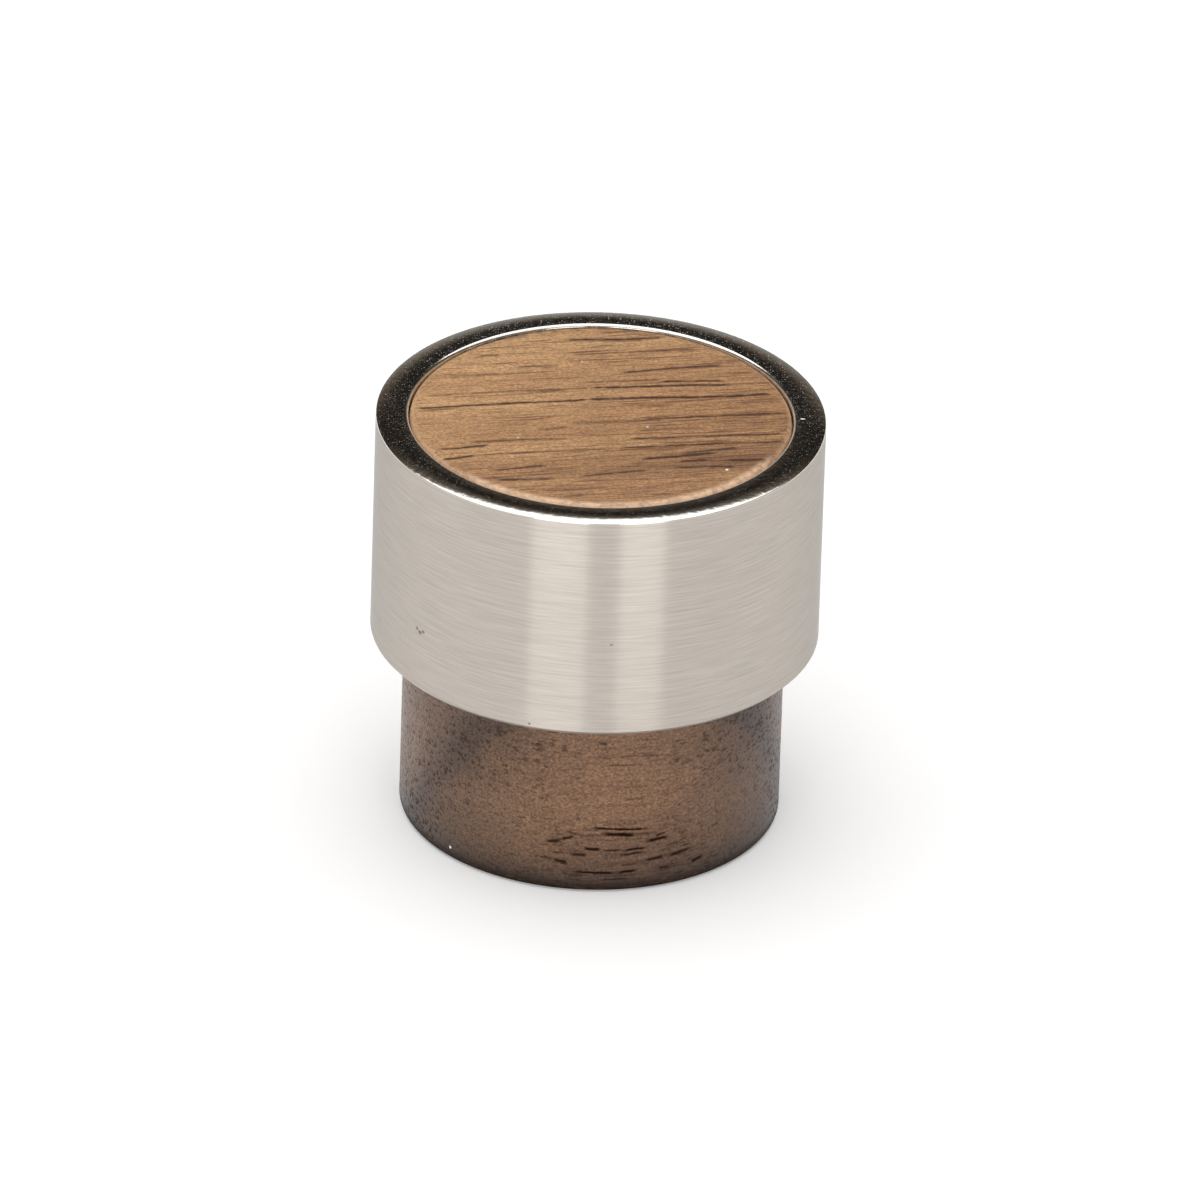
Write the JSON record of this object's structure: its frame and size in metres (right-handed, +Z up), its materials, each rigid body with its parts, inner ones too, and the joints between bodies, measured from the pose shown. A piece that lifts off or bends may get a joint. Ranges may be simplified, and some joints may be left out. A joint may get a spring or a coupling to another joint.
{
  "type": "cabinet knob",
  "caption": "Round cabinet knob: a turned walnut core with a wider satin nickel collar round its upper half, fixed by one machine screw from behind.",
  "frame": {"origin": "centre of the underside, where the knob seats on the cabinet front", "axes": "+Z up the knob's own axis, from the underside to the rim; X and Y are free, because the shape is round, and the wood's grain runs near X"},
  "size_m": [0.032, 0.032, 0.0312],
  "materials": {
    "walnut": "satin",
    "satin_nickel": "satin",
    "insert_brass": "satin"
  },
  "bodies": {
    "root": {"wood_core": "walnut", "collar": "satin_nickel", "threaded_insert": "insert_brass"}
  },
  "joints": []
}
